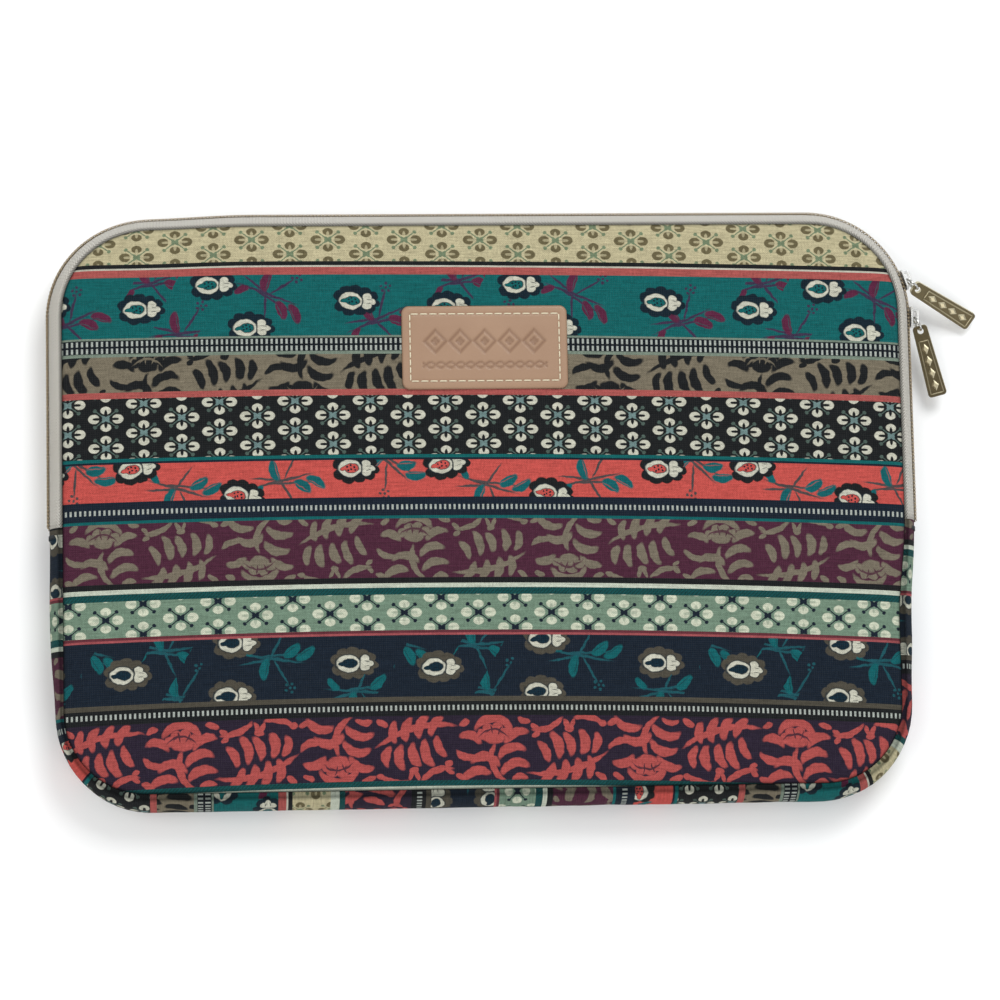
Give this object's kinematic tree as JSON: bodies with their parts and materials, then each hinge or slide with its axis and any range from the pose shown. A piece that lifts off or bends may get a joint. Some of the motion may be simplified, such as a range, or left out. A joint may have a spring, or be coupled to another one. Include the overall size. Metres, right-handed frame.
{
  "type": "laptop sleeve",
  "caption": "Padded zip-up laptop sleeve of printed cotton canvas with a foam core, fleece lining, a zip over the top with twin sliders and pulls, and a stitched leather label.",
  "frame": {"origin": "centre of the back panel's underside, where the sleeve rests", "axes": "+Z out of the front panel, +Y towards the zip end, +X to the side where the sliders are parked"},
  "size_m": [0.3823, 0.242, 0.0277],
  "materials": {
    "printed_canvas": "printed plain-weave cotton canvas, matt",
    "foam": "grey polyurethane foam",
    "lining": "short-pile fleece",
    "binding": "woven binding tape",
    "zip_tape": "pale grey-beige polyester herringbone tape",
    "zip_coil": "pale nylon coil",
    "leather": "smooth tan leather, embossed",
    "thread": "cream polyester thread",
    "nickel": "bright nickel plating",
    "bronze": "antique bronze plating, rubbed on the edges"
  },
  "bodies": {
    "sleeve": {"back_canvas": "printed_canvas", "back_foam": "foam", "back_lining": "lining", "back_binding": "binding", "gusset_canvas": "printed_canvas", "gusset_foam": "foam", "gusset_lining": "lining", "gusset_bar_tacks": "thread", "front_canvas_lower": "printed_canvas", "front_foam_lower": "foam", "front_lining_lower": "lining", "front_binding_lower": "binding", "back_zip_tape": "zip_tape", "back_zip_coil": "zip_coil"},
    "flap": {"front_canvas_upper": "printed_canvas", "front_foam_upper": "foam", "front_lining_upper": "lining", "front_binding_upper": "binding", "front_zip_tape": "zip_tape", "front_zip_coil": "zip_coil", "leather_label": "leather", "label_stitching": "thread"},
    "upper_slider": {"upper_slider": "nickel"},
    "upper_ring": {"upper_ring": "nickel"},
    "upper_pull": {"upper_pull": "bronze"},
    "lower_slider": {"lower_slider": "nickel"},
    "lower_ring": {"lower_ring": "nickel"},
    "lower_pull": {"lower_pull": "bronze"}
  },
  "joints": [
    {"name": "flap_open", "type": "hinge", "parent": "sleeve", "child": "flap", "pos_m": [0, -0.007, 0.026], "axis": [1, 0, 0], "range_deg": [0, 110]},
    {"name": "upper_slider_run", "type": "hinge", "parent": "sleeve", "child": "upper_slider", "pos_m": [0.134, 0.079, 0.013], "axis": [0, 0, 1], "range_deg": [0, 70]},
    {"name": "lower_slider_run", "type": "slide", "parent": "sleeve", "child": "lower_slider", "axis": [0, -1, 0], "range_m": [0, 0.078]},
    {"name": "upper_ring_swing", "type": "hinge", "parent": "upper_slider", "child": "upper_ring", "pos_m": [0.17617, 0.09352, 0.013], "axis": [0, 0, 1], "range_deg": [-10, 90]},
    {"name": "lower_ring_swing", "type": "hinge", "parent": "lower_slider", "child": "lower_ring", "pos_m": [0.1786, 0.0776, 0.013], "axis": [0, 0, 1], "range_deg": [-3, 50]},
    {"name": "upper_pull_swing", "type": "hinge", "parent": "upper_ring", "child": "upper_pull", "pos_m": [0.18044, 0.08981, 0.0121], "axis": [0.2332, -0.2027, 0.9511], "range_deg": [-12, 14]},
    {"name": "lower_pull_swing", "type": "hinge", "parent": "lower_ring", "child": "lower_pull", "pos_m": [0.18129, 0.07253, 0.0124], "axis": [0.0976, -0.1836, 0.9781], "range_deg": [-5, 30]}
  ]
}
